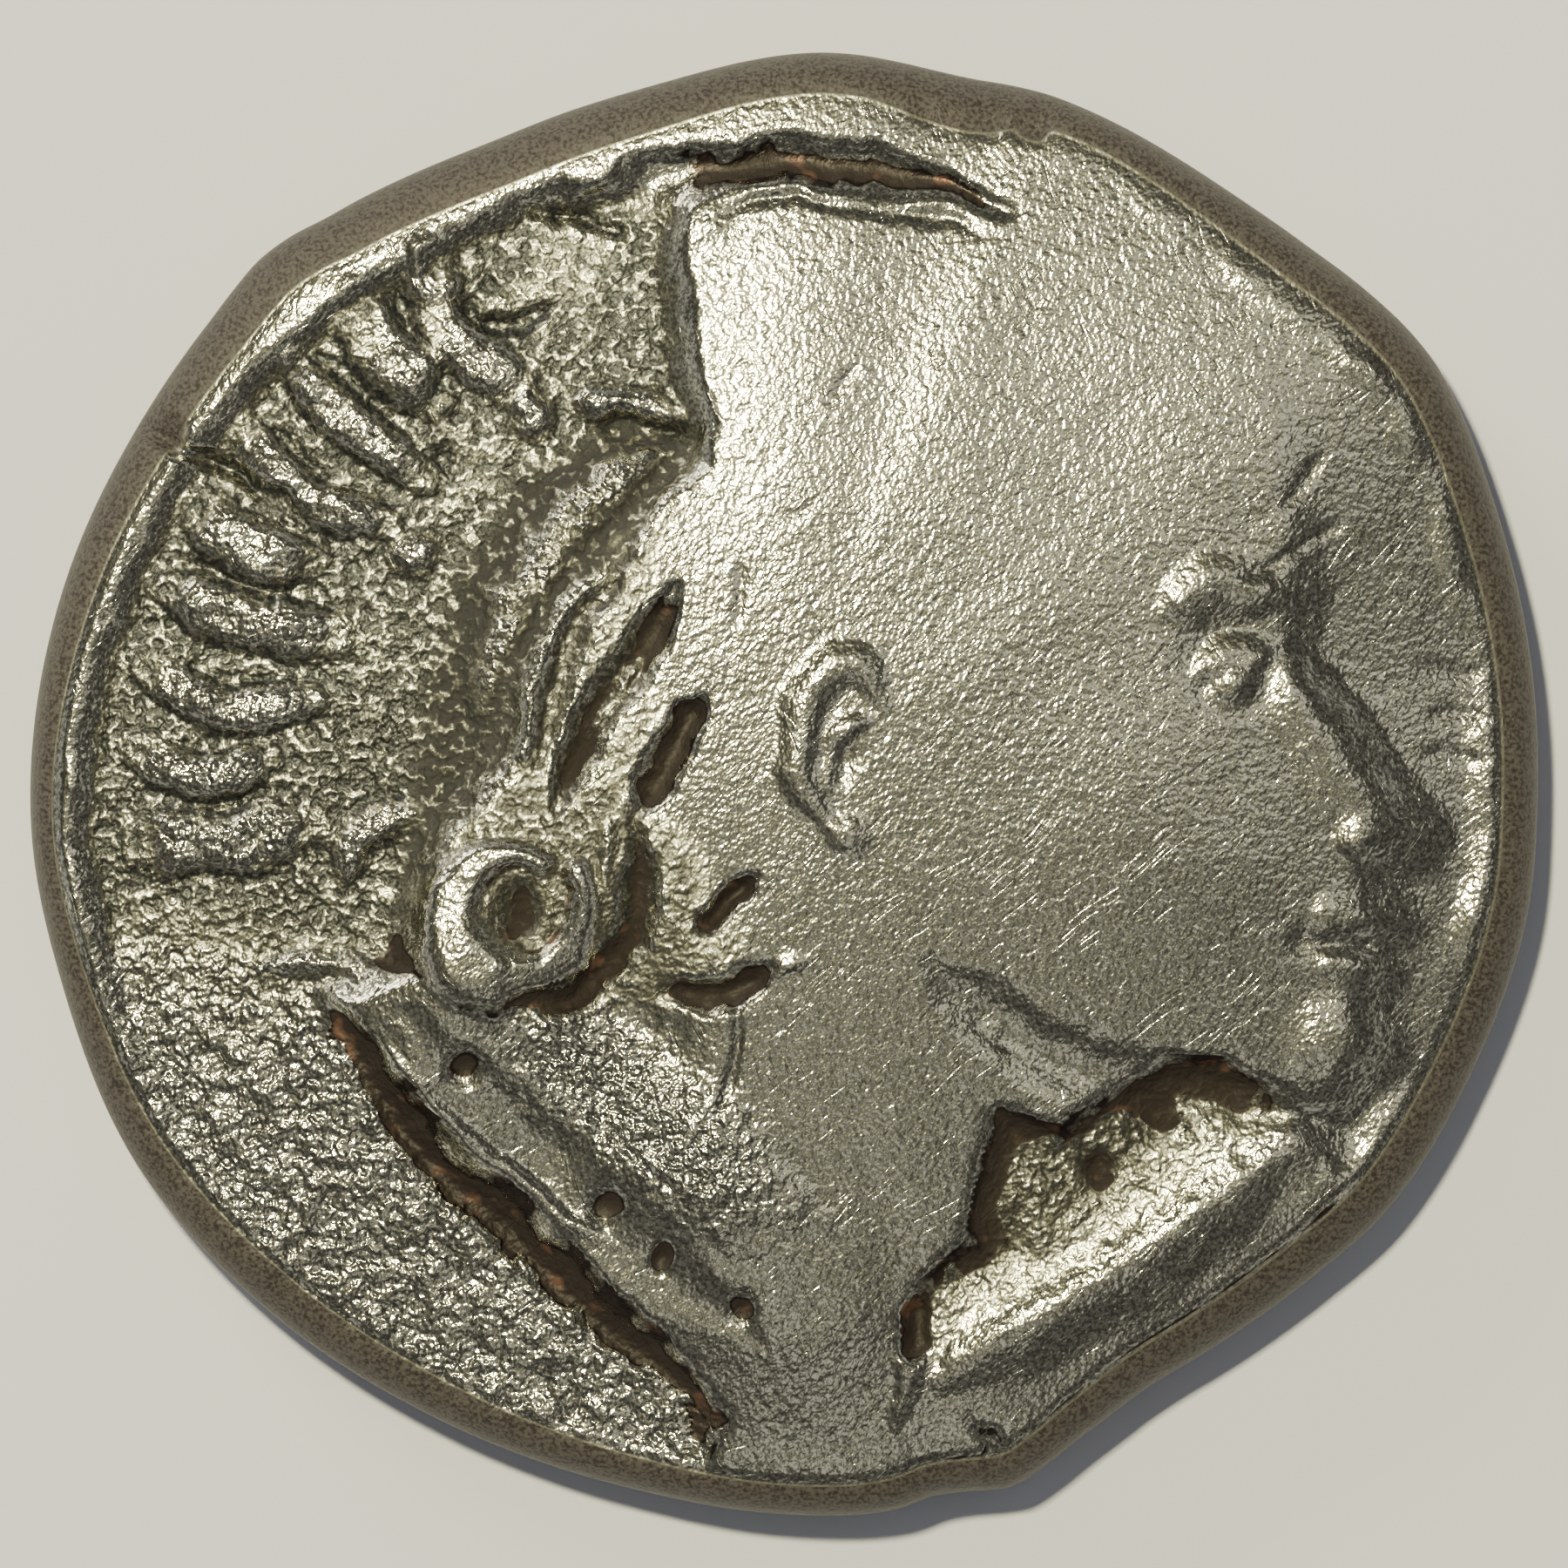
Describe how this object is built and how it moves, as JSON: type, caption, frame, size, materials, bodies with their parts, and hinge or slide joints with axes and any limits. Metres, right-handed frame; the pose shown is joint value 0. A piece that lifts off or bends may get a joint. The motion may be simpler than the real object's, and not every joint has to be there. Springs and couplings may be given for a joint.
{
  "type": "silver drachm",
  "caption": "Small thick ancient silver coin, irregular and worn: convex obverse with a low profile head, hair curl and dress folds, dished reverse with a plain star",
  "frame": {"origin": "Middle of the flan's outline, on the plane that the reverse's flat land rests on", "axes": "+X to the right and +Y up as the obverse is read, +Z out of the obverse, along the thickness"},
  "size_m": [0.017, 0.0164, 0.0024],
  "materials": {
    "silver": "satin"
  },
  "bodies": {
    "root": {"coin": "silver"}
  },
  "joints": []
}
